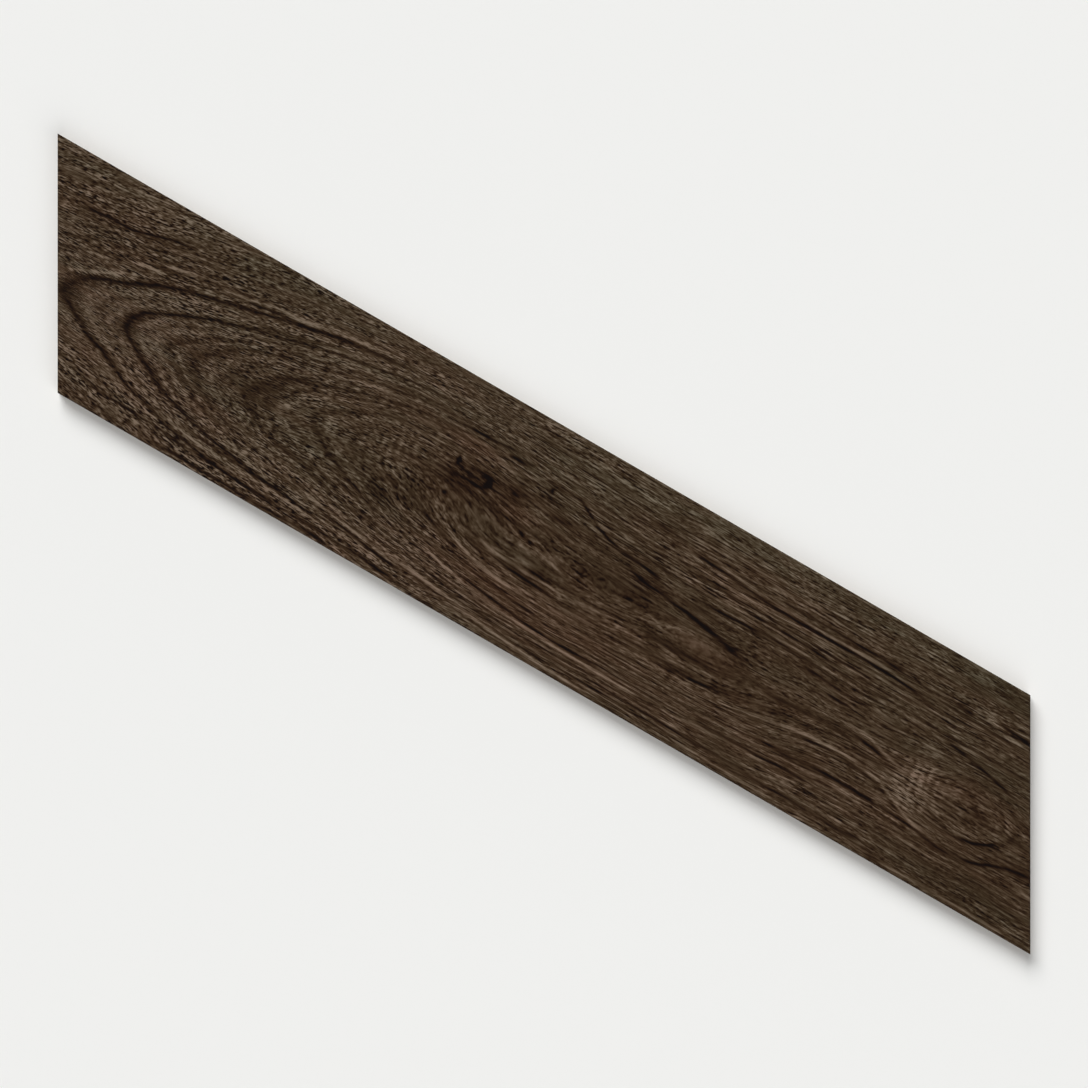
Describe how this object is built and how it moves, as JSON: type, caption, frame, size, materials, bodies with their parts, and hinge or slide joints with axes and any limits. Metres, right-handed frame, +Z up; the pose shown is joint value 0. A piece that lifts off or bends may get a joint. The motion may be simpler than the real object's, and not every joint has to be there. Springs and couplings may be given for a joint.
{
  "type": "porcelain chevron plank tile",
  "caption": "Wood-look porcelain floor tile: a flat plank with both ends cut at a slant for chevron laying, a bevelled printed face and a ribbed keying back.",
  "frame": {"origin": "centre of the back, in the plane of its ribs, on which the tile lies", "axes": "+Z up out of the printed face, +X along the long sides, +Y square across the width"},
  "size_m": [0.6136, 0.11, 0.01],
  "materials": {
    "porcelain": "matte"
  },
  "bodies": {
    "root": {"chevron_tile": "porcelain"}
  },
  "joints": []
}
